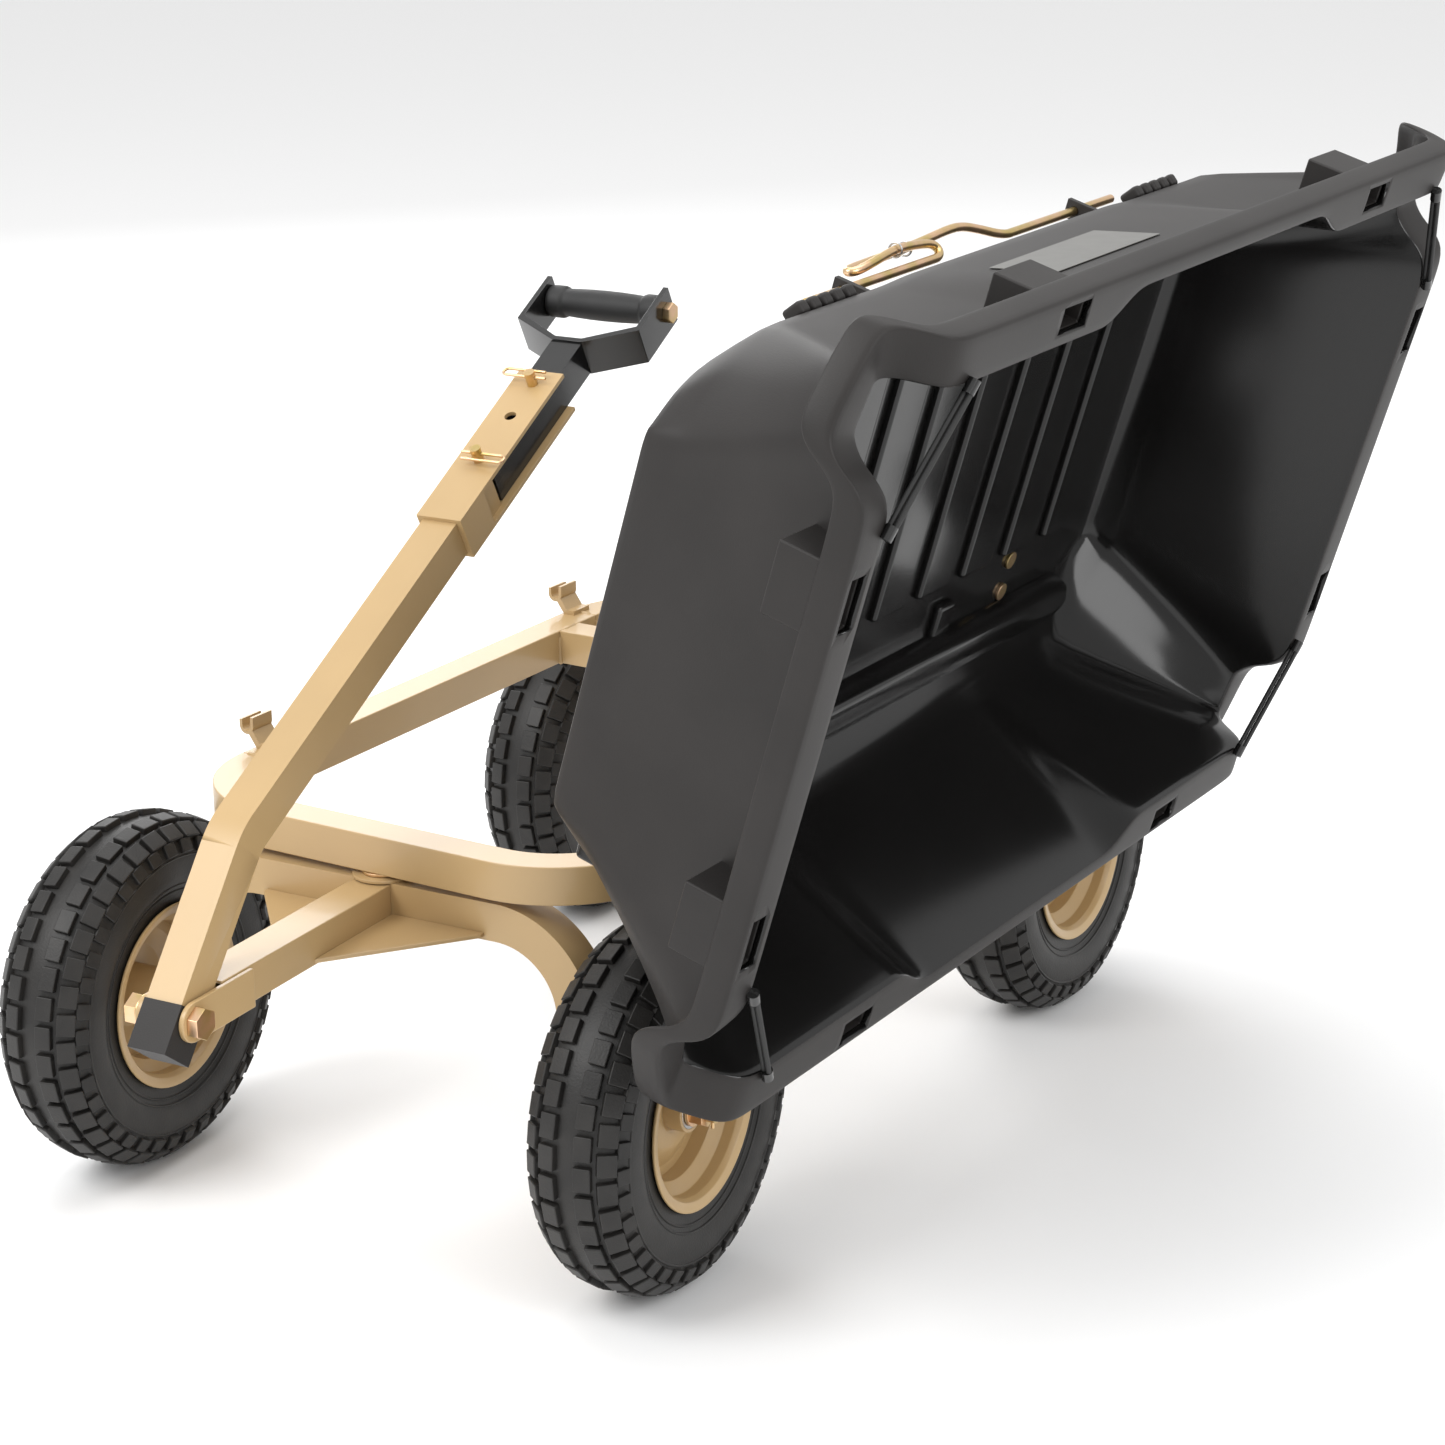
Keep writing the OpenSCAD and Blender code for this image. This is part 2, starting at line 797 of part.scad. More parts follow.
module corner_cords() {
  color(rubber) in_tub() for (s = [0, 1], e = [0, 1]) mirror([s, 0, 0]) mirror([0, e, 0]) corner_cord();
}

module rod_brackets() {
  color(black_paint) in_tub() for (y = [-206, 216]) translate([0, y + 6, 0]) rotate([90, 0, 0])
    linear_extrude(6) difference() {
      polygon([
        [rod_axis[0] - 9, -11], [rod_axis[0] + 9, -11],
        [rod_axis[0] + 9, (-rod_axis[0] - 9 - 205) * 39 / 53 - 0.5],
        [rod_axis[0] - 9, (-rod_axis[0] + 9 - 205) * 39 / 53 - 0.5]
      ]);
      translate(rod_axis) circle(r = rod_r + run_gap);
    }
}

function unit(v) = v / norm(v);

// direction of a path at one of its points; both ends run along the rod's axis
function tangent(path, i) =
  i == 0 || i == len(path) - 1 ? [0, 1, 0] : unit(path[i + 1] - path[i - 1]);

function sweep_ring(path, i, r, sides) =
  let (t = tangent(path, i), b = unit(cross(t, [1, 0, 0])), n = cross(b, t))
  [for (k = [0:sides - 1]) path[i] + r * (cos(360 * k / sides) * n + sin(360 * k / sides) * b)];

module sweep(path, r, sides) {
  last = len(path) - 1;
  walls = [
    for (i = [0:last - 1], k = [0:sides - 1], half = [0, 1])
      let (a = i * sides + k, b = i * sides + (k + 1) % sides)
      half == 0 ? [a, a + sides, b] : [b, a + sides, b + sides]
  ];
  start = [for (k = [0:sides - 1]) k];
  end = [for (k = [sides - 1:-1:0]) last * sides + k];
  polyhedron(points = [for (i = [0:last]) each sweep_ring(path, i, r, sides)], faces = concat([start], walls, [end]));
}

module rod_length(y0, y1) {
  translate([rod_axis[0], y1, rod_axis[1]]) rotate([90, 0, 0]) cylinder(h = y1 - y0, r = rod_r);
}

module lift_rod() {
  color(zinc) in_tub() {
    rod_length(rod_ends[0], loop_path[0][1]);
    sweep(loop_path, loop_r, loop_sides);
    rod_length(loop_path[len(loop_path) - 1][1], rod_ends[1]);
  }
}

// ---- wheels -------------------------------------------------------------

// closed section of the tyre: [radius, across], bead to bead outside and back inside
function tyre_arc(half_w, half_h, from, to, step) = [
  for (a = [from:step:to])
    let (c = cos(a), s = sin(a))
    [122 + half_h * sign(c) * pow(abs(c), 0.8), half_w * sign(s) * pow(abs(s), 0.8)]
];

module tyre() {
  section_h = wheel_r - 122;
  rotate([0, 90, 0]) rotate_extrude($fn = 96) polygon(concat(
    [[79.4, -30], [79.4, -33], [82, -36.6], [89, -38.8]],
    tyre_arc(tyre_w / 2, section_h, -120, 120, 12),
    [[89, 38.8], [82, 36.6], [79.4, 33], [79.4, 30], [88, 29.5]],
    tyre_arc(tyre_w / 2 - 9, section_h - 10, 110, -110, -20),
    [[88, -29.5]]
  ));
}

// pressed steel rim with a welded dish and hub tube
module rim() {
  rotate([0, 90, 0]) rotate_extrude($fn = 96) {
    polygon([
      [88, 43], [88, 40.4], [82, 38.2], [79, 34], [79, 24], [68, 16], [68, -16], [79, -24],
      [79, -34], [82, -38.2], [88, -40.4], [88, -43], [85, -43], [79, -41], [76, -36], [76, -26],
      [65, -18], [65, 18], [76, 26], [76, 36], [79, 41], [85, 43]
    ]);
    polygon([[20, 8], [20, 12], [40, 12], [56, 4], [66, 4], [66, 0], [55, 0], [39, 8]]);
    translate([bearing_r, hub_in]) square([hub_r - bearing_r, hub_out - hub_in]);
  }
}

module bearings() {
  for (x = [hub_in, hub_out - bearing_w]) x_ring(x, x + bearing_w, bearing_r, spindle_r + run_gap);
}

module valve() {
  translate([0, -42, 44]) x_bar(4, 34, 4);
}

module tyre_front_left() {
  color(rubber) front_wheel_place(1) tyre();
}

module tyre_front_right() {
  color(rubber) front_wheel_place(-1) tyre();
}

module tyre_rear_left() {
  color(rubber) rear_wheel_place(1) tyre();
}

module tyre_rear_right() {
  color(rubber) rear_wheel_place(-1) tyre();
}

module rim_front_left() {
  color(tan_paint) front_wheel_place(1) rim();
}

module rim_front_right() {
  color(tan_paint) front_wheel_place(-1) rim();
}

module rim_rear_left() {
  color(tan_paint) rear_wheel_place(1) rim();
}

module rim_rear_right() {
  color(tan_paint) rear_wheel_place(-1) rim();
}

module bearings_front_left() {
  color("silver") front_wheel_place(1) bearings();
}

module bearings_front_right() {
  color("silver") front_wheel_place(-1) bearings();
}

module bearings_rear_left() {
  color("silver") rear_wheel_place(1) bearings();
}

module bearings_rear_right() {
  color("silver") rear_wheel_place(-1) bearings();
}

module valve_front_left() {
  color(rubber) front_wheel_place(1) valve();
}

module valve_front_right() {
  color(rubber) front_wheel_place(-1) valve();
}

module valve_rear_left() {
  color(rubber) rear_wheel_place(1) valve();
}

module valve_rear_right() {
  color(rubber) rear_wheel_place(-1) valve();
}

front_bow();
rear_bow();
left_rail();
right_rail();
crossmember();
rear_axle_tube();
rear_spindles();
kingpin();
kingpin_hardware();
latch_hooks();
hinge_brackets();
hinge_pins();
rear_wheel_nuts();
rear_wheel_washers();
rear_cotters();
front_axle_tube();
front_spindles();
draw_arm();
gussets();
clevis_plates();
tongue_bolt();
tongue_nut();
kingpin_boss();
front_wheel_nuts();
front_wheel_washers();
front_cotters();
tongue_tube();
tongue_cap();
hitch_bracket();
handle_shaft();
handle_yoke();
grip();
grip_bolt();
upper_pin();
lower_pin();
hairpin_upper();
hairpin_lower();
tub();
bed_hinges();
bed_bolts();
side_plate();
corner_cords();
rod_brackets();
lift_rod();
tyre_front_left();
tyre_front_right();
tyre_rear_left();
tyre_rear_right();
rim_front_left();
rim_front_right();
rim_rear_left();
rim_rear_right();
bearings_front_left();
bearings_front_right();
bearings_rear_left();
bearings_rear_right();
valve_front_left();
valve_front_right();
valve_rear_left();
valve_rear_right();
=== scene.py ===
"""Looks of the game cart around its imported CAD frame. Metres, in the row's frame."""
import bpy
import bmesh
import json
import math
from mathutils import Matrix, Vector


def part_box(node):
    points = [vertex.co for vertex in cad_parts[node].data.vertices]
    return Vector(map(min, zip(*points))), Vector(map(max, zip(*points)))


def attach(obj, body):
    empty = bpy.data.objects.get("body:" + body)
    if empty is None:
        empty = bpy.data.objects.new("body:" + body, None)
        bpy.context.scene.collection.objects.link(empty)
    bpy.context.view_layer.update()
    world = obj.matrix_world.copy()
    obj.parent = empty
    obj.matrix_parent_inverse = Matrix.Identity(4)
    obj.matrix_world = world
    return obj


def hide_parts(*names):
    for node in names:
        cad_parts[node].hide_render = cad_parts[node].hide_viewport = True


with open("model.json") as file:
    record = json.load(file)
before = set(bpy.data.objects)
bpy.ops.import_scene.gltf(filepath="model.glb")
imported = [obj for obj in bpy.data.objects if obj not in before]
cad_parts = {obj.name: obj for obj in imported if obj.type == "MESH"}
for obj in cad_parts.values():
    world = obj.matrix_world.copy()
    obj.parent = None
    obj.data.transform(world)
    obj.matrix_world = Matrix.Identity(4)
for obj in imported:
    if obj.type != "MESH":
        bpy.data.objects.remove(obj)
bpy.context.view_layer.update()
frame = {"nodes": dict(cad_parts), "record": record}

BODY = {n: b for b, names in frame["record"]["behaviour"]["bodies"].items() for n in names}

# ---- places -------------------------------------------------------------
# The shapes below are in millimetres around the cart's own middle. CART carries them into the row's frame.
# STEERED is the turned front axle, TUB the tipped tub, and CLEVIS, UPPER and HANDLE are places on the tongue.


def T(x, y, z):
    return Matrix.Translation((x, y, z))


def R(axis, degrees):
    return Matrix.Rotation(math.radians(degrees), 4, axis)


def middle(node):
    lo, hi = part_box(node)
    return (lo + hi) / 2


kp = middle("kingpin")
ORIGIN = Vector((-1000 * kp.x, -368 - 1000 * kp.y, 0))
CART = Matrix.Scale(0.001, 4) @ Matrix.Translation(-ORIGIN)
STEERED = CART @ T(0, -368, 0) @ R("Z", 3.5)
TUB = CART @ T(232.7, 0, 389.6) @ R("Y", 106.8) @ T(-250.7, 0, -1.6)
CLEVIS = STEERED @ T(0, -305, 306) @ R("Z", 90) @ R("Y", -52)
UPPER = CLEVIS @ T(156, 0, 0) @ R("Y", 24)
HANDLE = UPPER @ T(369, 0, 0)

# ---- materials ----------------------------------------------------------


def material(name, color, rough, metal=0.0, vary=0.06, scale=60.0, bump=0.05, grain=900.0, coat=0.0,
             tint=None, spec=0.5):
    """A finish with a slow colour drift and a fine grain."""
    m = bpy.data.materials.new(name)
    m.use_nodes = True
    nt = m.node_tree
    b = nt.nodes["Principled BSDF"]
    b.inputs["Roughness"].default_value = rough
    b.inputs["Metallic"].default_value = metal
    b.inputs["Coat Weight"].default_value = coat
    b.inputs["Coat Roughness"].default_value = 0.08
    b.inputs["Specular IOR Level"].default_value = spec
    co = nt.nodes.new("ShaderNodeTexCoord")
    n1 = nt.nodes.new("ShaderNodeTexNoise")
    n1.inputs["Scale"].default_value = scale
    n1.inputs["Detail"].default_value = 4
    ramp = nt.nodes.new("ShaderNodeValToRGB")
    low = [c * (1 - vary) for c in color]
    high = list(tint) if tint else [min(1, c * (1 + vary)) for c in color]
    ramp.color_ramp.elements[0].position = 0.35
    ramp.color_ramp.elements[0].color = (*low, 1)
    ramp.color_ramp.elements[1].position = 0.65
    ramp.color_ramp.elements[1].color = (*high, 1)
    n2 = nt.nodes.new("ShaderNodeTexNoise")
    n2.inputs["Scale"].default_value = grain
    n2.inputs["Detail"].default_value = 3
    bm_ = nt.nodes.new("ShaderNodeBump")
    bm_.inputs["Strength"].default_value = bump
    bm_.inputs["Distance"].default_value = 0.001
    nt.links.new(co.outputs["Object"], n1.inputs["Vector"])
    nt.links.new(co.outputs["Object"], n2.inputs["Vector"])
    nt.links.new(n1.outputs["Fac"], ramp.inputs["Fac"])
    nt.links.new(ramp.outputs["Color"], b.inputs["Base Color"])
    nt.links.new(n2.outputs["Fac"], bm_.inputs["Height"])
    nt.links.new(bm_.outputs["Normal"], b.inputs["Normal"])
    return m


TAN = material("tan_paint", (0.46, 0.312, 0.147), 0.36, vary=0.03, scale=8, bump=0.06, grain=1400, coat=0.15)
ZINC = material("yellow_zinc", (0.66, 0.50, 0.20), 0.3, metal=1.0, scale=45, bump=0.05,
                tint=(0.78, 0.52, 0.33))
PLASTIC = material("black_plastic", (0.021, 0.0188, 0.0178), 0.5, vary=0.12, scale=9, bump=0.12, grain=700,
                   spec=0.3)
# The tub's inside: the same black plastic, really smoother and glossier, but with a darker base colour that
# is painted shade for the inside of the tub.
GLOSSY_PAINTED_SHADE = material("black_plastic_inside_painted_shade", (0.006, 0.0057, 0.0055), 0.14, vary=0.12, scale=9, bump=0.02,
                  grain=60, spec=0.4)
RUBBER = material("black_rubber", (0.012, 0.012, 0.012), 0.6, vary=0.12, bump=0.2, grain=1200)
TYRE = material("tyre", (0.015, 0.0138, 0.0126), 0.48, vary=0.3, scale=30, bump=0.25, grain=500, spec=0.42)
STEEL = material("bearing_steel", (0.5, 0.5, 0.5), 0.28, metal=1.0, vary=0.05)
BLACK = material("black_paint", (0.008, 0.008, 0.008), 0.22, vary=0.1, bump=0.05, coat=0.4)
BADGE = material("badge", (0.13, 0.128, 0.12), 0.45, vary=0.05, bump=0.02)
LOOK = {"tan_paint": TAN, "yellow_zinc": ZINC, "black_plastic": PLASTIC, "black_rubber": RUBBER, "tyre": TYRE,
        "bearing_steel": STEEL, "black_paint": BLACK, "badge": BADGE}
SLOT = {s["node"]: s["material_slot"] for s in frame["record"]["subparts"]}

# ---- mesh helpers -------------------------------------------------------


def new_object(name, verts, faces, mats, matrix=None, smooth=True):
    me = bpy.data.meshes.new(name)
    me.from_pydata([(matrix @ Vector(v)) if matrix else v for v in verts], [], faces)
    for m in mats:
        me.materials.append(m)
    bm_ = bmesh.new()
    bm_.from_mesh(me)
    bmesh.ops.recalc_face_normals(bm_, faces=bm_.faces)
    bm_.to_mesh(me)
    bm_.free()
    for p in me.polygons:
        p.use_smooth = smooth
    o = bpy.data.objects.new(name, me)
    bpy.context.collection.objects.link(o)
    return o


def bevel(o, width, segments=2, angle=32):
    b = o.modifiers.new("edge", "BEVEL")
    b.width = width / 1000
    b.segments = segments
    b.limit_method = "ANGLE"
    b.angle_limit = math.radians(angle)
    b.use_clamp_overlap = True
    w = o.modifiers.new("normals", "WEIGHTED_NORMAL")
    w.keep_sharp = False
    return o


def stands_for(o, *nodes):
    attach(o, BODY[nodes[0]])
    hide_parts(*nodes)
    return o


def soften(node, width=1.0, segments=2, angle=32):
    """A bevelled copy of a CAD node, in its own finish."""
    me = frame["nodes"][node].data.copy()
    me.materials.clear()
    me.materials.append(LOOK[SLOT[node]])
    bm_ = bmesh.new()
    bm_.from_mesh(me)
    bmesh.ops.remove_doubles(bm_, verts=bm_.verts, dist=2e-5)
    bmesh.ops.dissolve_limit(bm_, angle_limit=math.radians(0.6), verts=bm_.verts, edges=bm_.edges)
    bmesh.ops.recalc_face_normals(bm_, faces=bm_.faces)
    bm_.to_mesh(me)
    bm_.free()
    for p in me.polygons:
        p.use_smooth = True
    o = bpy.data.objects.new(node + "_look", me)
    bpy.context.collection.objects.link(o)
    bevel(o, width, segments, angle)
    return stands_for(o, node)


def revolve(profile, steps=72):
    """Verts and faces of a closed (radius, across) profile turned about X."""
    verts, faces, n = [], [], len(profile)
    for k in range(steps):
        a = 2 * math.pi * k / steps
        verts += [(u, r * math.cos(a), r * math.sin(a)) for r, u in profile]
    for k in range(steps):
        for i in range(n):
            a, b = k * n + i, k * n + (i + 1) % n
            c, d = ((k + 1) % steps) * n + (i + 1) % n, ((k + 1) % steps) * n + i
            faces.append((a, b, c, d))
    return verts, faces


def box(x0, x1, y0, y1, z0, z1):
    v = [(x, y, z) for x in (x0, x1) for y in (y0, y1) for z in (z0, z1)]
    f = [(0, 1, 3, 2), (4, 6, 7, 5), (0, 4, 5, 1), (2, 3, 7, 6), (0, 2, 6, 4), (1, 5, 7, 3)]
    return v, f


def join(parts):
    verts, faces = [], []
    for v, f in parts:
        k = len(verts)
        verts += v
        faces += [tuple(i + k for i in q) for q in f]
    return verts, faces


def moved(part, m):
    return [tuple(m @ Vector(v)) for v in part[0]], part[1]


def rod(name, points, radius, mat, matrix, smooth=3):
    """Round bar through points in millimetres, its corners rounded by cutting."""
    pts = [Vector(p) for p in points]
    for _ in range(smooth):
        q = [pts[0]]
        for a, b in zip(pts, pts[1:]):
            q += [a.lerp(b, 0.25), a.lerp(b, 0.75)]
        pts = q + [pts[-1]]
    cu = bpy.data.curves.new(name, "CURVE")
    cu.dimensions = "3D"
    cu.bevel_depth = radius / 1000
    cu.bevel_resolution = 5
    cu.use_fill_caps = True
    s = cu.splines.new("POLY")
    s.points.add(len(pts) - 1)
    for sp, p in zip(s.points, pts):
        sp.co = (*(matrix @ p), 1)
    cu.materials.append(mat)
    o = bpy.data.objects.new(name, cu)
    bpy.context.collection.objects.link(o)
    dg = bpy.context.evaluated_depsgraph_get()
    me = bpy.data.meshes.new_from_object(o.evaluated_get(dg))
    bpy.data.objects.remove(o)
    for p in me.polygons:
        p.use_smooth = True
    o = bpy.data.objects.new(name, me)
    bpy.context.collection.objects.link(o)
    return o


# ---- welded frame, axles, tongue ----------------------------------------

for n in ("front_bow", "rear_bow", "left_rail", "right_rail", "crossmember", "rear_axle_tube",
          "front_axle_tube", "draw_arm", "tongue_tube"):
    soften(n, 3.2, 3)
for n in ("gussets", "clevis_plates", "hinge_brackets", "bed_hinges", "hitch_bracket", "latch_hooks",
          "handle_yoke", "handle_shaft", "tongue_cap"):
    soften(n, 1.0, 2)
for n in ("rear_spindles", "kingpin", "kingpin_hardware", "hinge_pins", "rear_wheel_nuts",
          "rear_wheel_washers", "rear_cotters", "front_spindles", "tongue_bolt", "tongue_nut",
          "kingpin_boss", "front_wheel_nuts", "front_wheel_washers", "front_cotters", "grip_bolt",
          "upper_pin", "lower_pin", "bed_bolts", "side_plate", "rod_brackets", "hairpin_upper",
          "hairpin_lower"):
    soften(n, 0.5, 2)


def weld(name, points, body):
    o = rod(name, points, 2.4, TAN, CART, smooth=1)
    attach(o, body)
    return o


for sx in (-1, 1):
    x = sx * 204
    weld("cross_weld", [(x, 201, 332), (x, 201, 365), (x, 236, 365), (x, 236, 332), (x, 201, 332)], "frame")
    for sy in (-1, 1):
        x0, x1 = sx * 204, sx * 239
        weld("rail_weld", [(x0, sy * 268, 331.5), (x0, sy * 268, 365.5), (x1, sy * 268, 365.5),
                           (x1, sy * 268, 331.5), (x0, sy * 268, 331.5)], "frame")

# ---- handle -------------------------------------------------------------

grip = [(5.2, -59), (13.4, -59), (14.9, -57.5), (15.2, -54), (15.2, -45), (14.4, -42.5), (13.2, -41.5),
        (13.0, -40), (13.6, -30), (14.2, -15), (14.4, 0), (14.2, 15), (13.6, 30), (13.0, 40),
        (13.2, 41.5), (14.4, 42.5), (15.2, 45), (15.2, 54), (14.9, 57.5), (13.4, 59), (5.2, 59)]
g = new_object("grip_look", *revolve(grip, 48), [RUBBER], HANDLE @ T(324, 0, 0) @ R("Z", 90))
stands_for(g, "grip")

# ---- wheels -------------------------------------------------------------


def section(a, w=45.2, h=38.2):
    c, s = math.cos(math.radians(a)), math.sin(math.radians(a))
    return (122 + h * math.copysign(abs(c) ** 0.8, c), w * math.copysign(abs(s) ** 0.8, s))


carcass = [(79.4, -30), (79.4, -33), (82, -36.6), (89, -38.8)]
carcass += [section(a) for a in range(-120, 121, 8)]
carcass += [(89, 38.8), (82, 36.6), (79.4, 33), (79.4, 30), (92, 28), (140, 30), (150, 12), (150, -12),
            (140, -30), (92, -28)]
blocks = []
COUNT = 38
for row, (a, wide, high, long) in enumerate(((-66, 13, 3.6, 0.6), (-44, 17, 4.6, 0.78), (-16, 15.5, 5.0, 0.8),
                                             (16, 15.5, 5.0, 0.8), (44, 17, 4.6, 0.78), (66, 13, 3.6, 0.6))):
    r, u = section(a)
    r2, u2 = section(a + 2)
    tilt = math.degrees(math.atan2(u2 - u, r - r2))
    half = math.pi * (r + 3) / COUNT * long
    for k in range(COUNT):
        turn = 360 / COUNT * (k + 0.5 * (row % 2))
        m = R("X", turn) @ T(u, 0, r) @ R("Y", 90 - tilt)
        blocks.append(moved(box(-wide / 2, wide / 2, -half, half, -2.5, high), m))


def wheel(place, turn, which):
    body = "wheel_" + which
    m = place @ R("Z", turn)
    t = new_object("tyre_" + which + "_look", *revolve(carcass, 96), [TYRE], m)
    stands_for(t, "tyre_" + which)
    b = new_object("tread_" + which, *join(blocks), [TYRE], m, smooth=False)
    bevel(b, 1.1, 2)
    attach(b, body)
    for sgn in (-1, 1):
        for rr in (99, 105, 132):
            ring = [(rr + 1.2 * math.cos(q), sgn * (section_side(rr) + 1.2 * math.sin(q) - 0.3))
                    for q in (math.pi * k / 4 for k in range(8))]
            o = new_object("tyre_line_" + which, *revolve(ring, 96), [TYRE], m)
            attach(o, body)
    shell = [(88, 43), (88, 40.4), (82, 38.2), (79, 34), (79, 24), (68, 16), (68, -16), (79, -24), (79, -34),
             (82, -38.2), (88, -40.4), (88, -43), (85, -43), (79, -41), (76, -36), (76, -26), (65, -18),
             (65, 18), (76, 26), (76, 36), (79, 41), (85, 43)]
    dish = [(20, 8), (20, 12), (24, 13.5), (36, 13.5), (41, 12), (47, 9), (56, 4), (66, 4), (66, 0),
            (55, 0), (39, 8)]
    hub = [(17.5, -47), (21, -47), (21, 30), (17.5, 30)]
    o = new_object("rim_" + which + "_look", *join([revolve(shell, 96), revolve(dish, 96), revolve(hub, 64)]),
                   [TAN], m)
    bevel(o, 0.8, 2, 20)
    stands_for(o, "rim_" + which)
    soften("bearings_" + which, 0.4)
    soften("valve_" + which, 0.6)


def section_side(radius):
    """How far out the tyre's side is at a radius."""
    best = min((abs(section(a)[0] - radius), section(a)[1]) for a in range(1, 121))
    return best[1]


wheel(STEERED @ T(277, 0, 165), 0, "front_left")
wheel(STEERED @ T(-277, 0, 165), 180, "front_right")
wheel(CART @ T(277, 368, 165), 0, "rear_left")
wheel(CART @ T(-277, 368, 165), 180, "rear_right")

# ---- tub ----------------------------------------------------------------

H, SKIN, FLANGE, INSET, DIP, SKIRT = 238.0, 5.0, 14.0, 24.0, 46.0, 27.0
FLOOR, KNEE, RIM = (159, 478, 425, 205), (170, 484, 391, 258), (245, 549, 505, 328)


def quarter(ring, grow, step):
    a, l, b, w = ring[0] + grow * .5, ring[1] + grow - step, ring[2] + grow * .5, ring[3] + grow
    s = w - step
    return [(w, 0, 0), (w, 150, 0), (w, 188, 0), (s, 224, 0), (s, 250, 0), (s, b - 60, 0), (s, b - 26, 0.02),
            (s, b - 14, 0.3), (s - 1, b - 3, 0.8), (s - 5, b + 7, 1),
            (s + (a - s) * .3, b + (l - b) * .45, 1), (s + (a - s) * .5, b + (l - b) * .65, 1),
            (s + (a - s) * .75, b + (l - b) * .87, 1), (a + 8, l - 2, 0.95), (a - 4, l, 0.7),
            (a - 14, l, 0.28), (a - 28, l, 0.02), (a - 60, l, 0), (a * 0.4, l, 0), (0, l, 0)]


PARAMS = []
base = quarter(RIM, 0, INSET)
for i, (p, r) in enumerate(zip(base, base[1:])):
    d = math.dist(p[:2], r[:2])
    if d < 45:
        PARAMS += [(i, 0.25), (i, 0.75)]
    else:
        n = max(2, round(d / 36))
        PARAMS += [(i, 8 / d)] + [(i, k / n) for k in range(1, n)] + [(i, 1 - 8 / d)]


def ring(base_ring, grow, step, z, drop):
    q = quarter(base_ring, grow, step)
    pts = [q[0]]
    for i, t in PARAMS:
        pts.append(tuple(q[i][k] + (q[i + 1][k] - q[i][k]) * t for k in range(3)))
    pts.append(q[-1])
    pts = [(x, y, z - drop * d) for x, y, d in pts]
    full = list(pts)
    full += [(-x, y, zz) for x, y, zz in reversed(pts[:-1])]
    full += [(-x, -y, zz) for x, y, zz in pts[1:]]
    full += [(x, -y, zz) for x, y, zz in reversed(pts[1:-1])]
    return full


def between(r1, r2, t):
    return [tuple(a + (b - a) * t for a, b in zip(p, q)) for p, q in zip(r1, r2)]


U = H - SKIN
floor_out, knee_out = ring(FLOOR, 0, 0, 0, 0), ring(KNEE, 0, 2, 39, 0)
wall_top = ring(RIM, -2, INSET, U, DIP)
floor_in, knee_in = ring(FLOOR, -SKIN, 0, SKIN, 0), ring(KNEE, -SKIN, 2, 39, 0)
rim_in = ring(RIM, -SKIN, INSET, H - 5, DIP)
rings = [
    ring(FLOOR, -14, 0, 0, 0), between(floor_out, ring(FLOOR, -14, 0, 0, 0), .3),
    between(floor_out, knee_out, .12), between(floor_out, knee_out, .88),
    between(knee_out, wall_top, .03), between(knee_out, wall_top, .5),
    between(knee_out, wall_top, .96), ring(RIM, 1, INSET, U, DIP),
    ring(RIM, FLANGE - 7, 3, U, DIP), ring(RIM, FLANGE - 4.2, 0, U - 4, DIP),
    ring(RIM, FLANGE - 4.2, 0, H - SKIRT + 2, DIP), ring(RIM, FLANGE - 3, 0, H - SKIRT, DIP),
    ring(RIM, FLANGE - 1.2, 0, H - SKIRT, DIP), ring(RIM, FLANGE, 0, H - SKIRT + 2, DIP),
    ring(RIM, FLANGE, 0, H - 5, DIP), ring(RIM, FLANGE - 1.5, 0, H - 1.5, DIP),
    ring(RIM, FLANGE - 5, 0, H, DIP), ring(RIM, -SKIN + 5, INSET, H, DIP),
    ring(RIM, -SKIN + 1.5, INSET, H - 1.5, DIP), rim_in,
    between(knee_in, rim_in, .9), between(knee_in, rim_in, .5), between(knee_in, rim_in, .04),
    between(floor_in, knee_in, .9), between(floor_in, knee_in, .1), ring(FLOOR, -SKIN - 8, 0, SKIN, 0),
    ring(FLOOR, -SKIN - 18, 0, SKIN, 0)]
N = len(rings[0])
verts = [p for r in rings for p in r]
faces, inner = [], []
for k in range(len(rings) - 1):
    for i in range(N):
        j = (i + 1) % N
        faces.append((k * N + i, k * N + j, (k + 1) * N + j, (k + 1) * N + i))
        inner.append(k >= 18)
faces += [tuple(range(N)), tuple((len(rings) - 1) * N + i for i in range(N))]
inner += [False, True]
# Faces inside the tub take the glossy plastic whose darker colour is painted shade.
tub = new_object("tub_look", verts, faces, [PLASTIC, GLOSSY_PAINTED_SHADE], TUB)
for p, f in zip(tub.data.polygons, inner):
    p.material_index = 1 if f else 0
sub = tub.modifiers.new("round", "SUBSURF")
sub.levels = sub.render_levels = 1


def pocket_spots():
    for s in (-1, 1):
        for y in (-300, 300):
            yield T(s * 342, y, 0) @ R("Z", -90 if s > 0 else 90)
        for x in (-145, 145):
            yield T(x, s * 563, 0) @ R("Z", 0 if s > 0 else 180)


def prism(profile, half):
    n = len(profile)
    v = [(-half, -u, z) for u, z in profile] + [(half, -u, z) for u, z in profile]
    f = [tuple(range(n)), tuple(range(2 * n - 1, n - 1, -1))]
    f += [(i, (i + 1) % n, n + (i + 1) % n, n + i) for i in range(n)]
    return v, f


def cutter(parts, name):
    o = new_object(name, *join(parts), [GLOSSY_PAINTED_SHADE], TUB, smooth=False)
    o.hide_render = True
    o.hide_viewport = True
    return o


holes = cutter([moved(box(-23, 23, -30, -8, 182, 260), m) for m in pocket_spots()], "pocket_cut")
cut = tub.modifiers.new("pockets", "BOOLEAN")
cut.object = holes
cut.solver = "EXACT"
w = tub.modifiers.new("normals", "WEIGHTED_NORMAL")
w.keep_sharp = False
stands_for(tub, "tub")

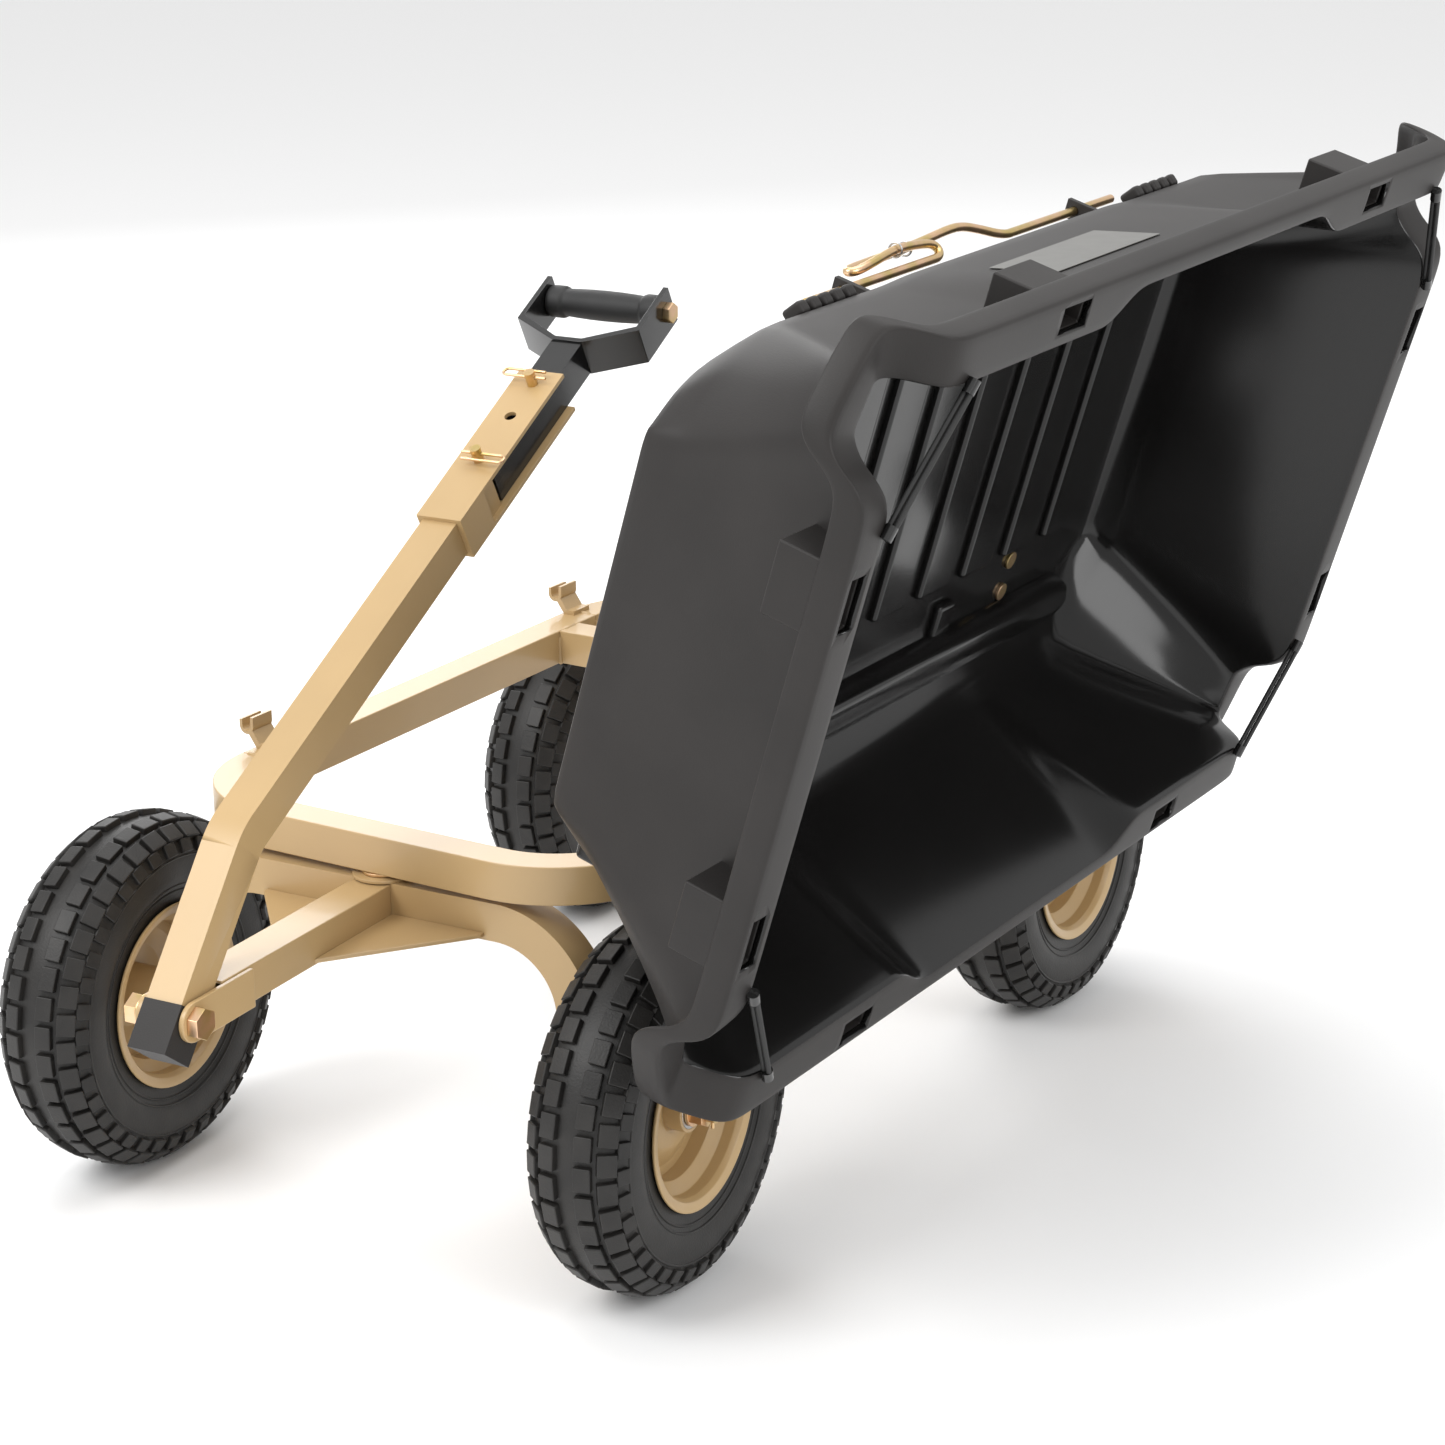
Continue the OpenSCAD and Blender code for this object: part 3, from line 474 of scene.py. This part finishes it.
cups = [moved(prism([(1.5, 176), (54, 176), (41, 232), (1.5, 232)], 30), m) for m in pocket_spots()]
cup = new_object("stake_pockets", *join(cups), [PLASTIC], TUB, smooth=True)
cut = cup.modifiers.new("pockets", "BOOLEAN")
cut.object = holes
cut.solver = "EXACT"
bevel(cup, 2.0, 3)
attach(cup, "bed")

# floor ribs, the ledge along the hinge side and its bosses
inside = [box(-186, 138, y + 13, y + 72, 3, 12) for y in range(-425, 341, 85)]
o = new_object("floor_ribs", *join(inside), [GLOSSY_PAINTED_SHADE], TUB)
bevel(o, 4.5, 4)
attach(o, "bed")
ledge = [moved(prism([(192, 3), (200, 27), (216, 30), (236, 26), (236, 3)], 420), R("Z", 90))]
ledge += [box(160, 196, y - 16, y + 16, 3, 13) for y in (-170, 170)]
o = new_object("hinge_ledge", *join(ledge), [GLOSSY_PAINTED_SHADE], TUB)
bevel(o, 5, 4)
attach(o, "bed")

# ribbed grip pads under the long edges
pads = []
for s in (0, 1):
    flip = Matrix.Scale(-1, 4, (1, 0, 0)) if s else Matrix.Identity(4)
    for e in (-1, 1):
        for k in range(-2, 3):
            at = flip @ T(236, e * 300 + 18 * k, 28) @ R("Y", 53.5)
            pads.append(moved(box(0, 12, -6.5, 6.5, 0, 20), at))
o = new_object("grip_pads", *join(pads), [PLASTIC], TUB)
bevel(o, 3.5, 4)
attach(o, "bed")

# ---- cords and lift rod -------------------------------------------------

first = True
for sx in (-1, 1):
    for sy in (-1, 1):
        for dz in (-2.4, 2.4):
            p = (sx * 306, sy * 455, 241 + dz)
            q = (sx * 195, sy * 528, 241 + dz)
            o = rod("cord", [p, q], 2.3, RUBBER, TUB, smooth=0)
            if first:
                stands_for(o, "corner_cords")
                first = False
            else:
                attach(o, "bed")
        for px, py, qx, qy in ((306, 455, 296, 461), (195, 528, 205, 522)):
            o = rod("ferrule", [(sx * px, sy * py, 241), (sx * qx, sy * qy, 241)], 5.0, BLACK, TUB, smooth=0)
            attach(o, "bed")

LOOP = [(-228, -44, -2), (-229, -36, -4), (-232, -32, -9), (-235, -37, -13), (-237, -50, -15),
        (-240, -90, -16), (-239, -112, -15), (-234, -148, -14), (-231, -160, -16), (-229, -164, -21),
        (-228, -158, -25),
        (-228, -146, -26), (-229, -80, -26), (-232, -32, -25), (-237, 10, -23), (-237, 30, -21),
        (-233, 52, -15), (-229, 72, -6), (-228, 84, -2)]
bar = [(-228, -262, -2), (-228, -60, -2), (-228, -48, -2)] + LOOP + [(-228, 96, -2), (-228, 292, -2)]
o = rod("lift_rod_look", bar, 4.0, ZINC, TUB, smooth=2)
stands_for(o, "lift_rod")
for k, (y, x, z) in enumerate(((-100, -239.5, -15.5), (-60, -229.5, -26))):
    ring_pts = [(x + 6.2 * math.cos(q), y + 1.5 * math.sin(q / 2), z + 6.2 * math.sin(q))
                for q in (2 * math.pi * i / 16 for i in range(17))]
    o = rod("rod_clip", ring_pts, 0.9, STEEL, TUB, smooth=1)
    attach(o, "lift_rod")

# ---- camera, floor and light --------------------------------------------

az, el, roll = math.radians(32.17), math.radians(18.47), math.radians(-0.55)
back = Vector((math.sin(az) * math.cos(el), -math.cos(az) * math.cos(el), math.sin(el)))
right = (-back).cross(Vector((0, 0, 1))).normalized()
up = right.cross(-back)
r2 = math.cos(roll) * right + math.sin(roll) * up
u2 = -math.sin(roll) * right + math.cos(roll) * up
cam = bpy.data.cameras.new("camera")
cam.lens = 85.14
cam.sensor_width = 36
cam.clip_end = 50
co = bpy.data.objects.new("camera", cam)
bpy.context.collection.objects.link(co)
basis = Matrix((r2, u2, back)).transposed().to_4x4()
co.matrix_world = Matrix.Translation((Vector((1741.4, -2576.8, 1395.6)) - ORIGIN) / 1000) @ basis
bpy.context.scene.camera = co

ground = bpy.data.materials.new("ground")
ground.use_nodes = True
gb = ground.node_tree.nodes["Principled BSDF"]
gb.inputs["Base Color"].default_value = (0.92, 0.92, 0.92, 1)
gb.inputs["Roughness"].default_value = 0.9
me = bpy.data.meshes.new("floor")
me.from_pydata([(x, y, -0.0005) for x, y in ((-30, -30), (30, -30), (30, 30), (-30, 30))], [],
               [(0, 1, 2, 3)])
me.materials.append(ground)
fl = bpy.data.objects.new("floor", me)
bpy.context.collection.objects.link(fl)

world = bpy.data.worlds.new("studio")
world.use_nodes = True
world.node_tree.nodes["Background"].inputs["Color"].default_value = (1, 1, 1, 1)
world.node_tree.nodes["Background"].inputs["Strength"].default_value = 0.85
bpy.context.scene.world = world


def lamp(name, at, target, size, watts):
    li = bpy.data.lights.new(name, "AREA")
    li.shape = "SQUARE"
    li.size = size
    li.energy = watts
    o = bpy.data.objects.new(name, li)
    bpy.context.collection.objects.link(o)
    o.matrix_world = (Matrix.Translation(at)
                      @ (Vector(at) - Vector(target)).to_track_quat("Z", "Y").to_matrix().to_4x4())
    return o


lamp("key", (-1.6, -3.2, 3.6), (0, 0, 0.4), 2.2, 120)
lamp("side", (3.6, -1.0, 2.6), (0, 0, 0.4), 2.0, 60)
lamp("top", (0, 0.6, 4.2), (0, 0, 0.3), 3.0, 70)
lamp("rim", (-3.0, 2.6, 2.4), (0, 0, 0.5), 2.0, 50)
bpy.context.scene.view_settings.view_transform = "Standard"
bpy.context.scene.view_settings.look = "None"
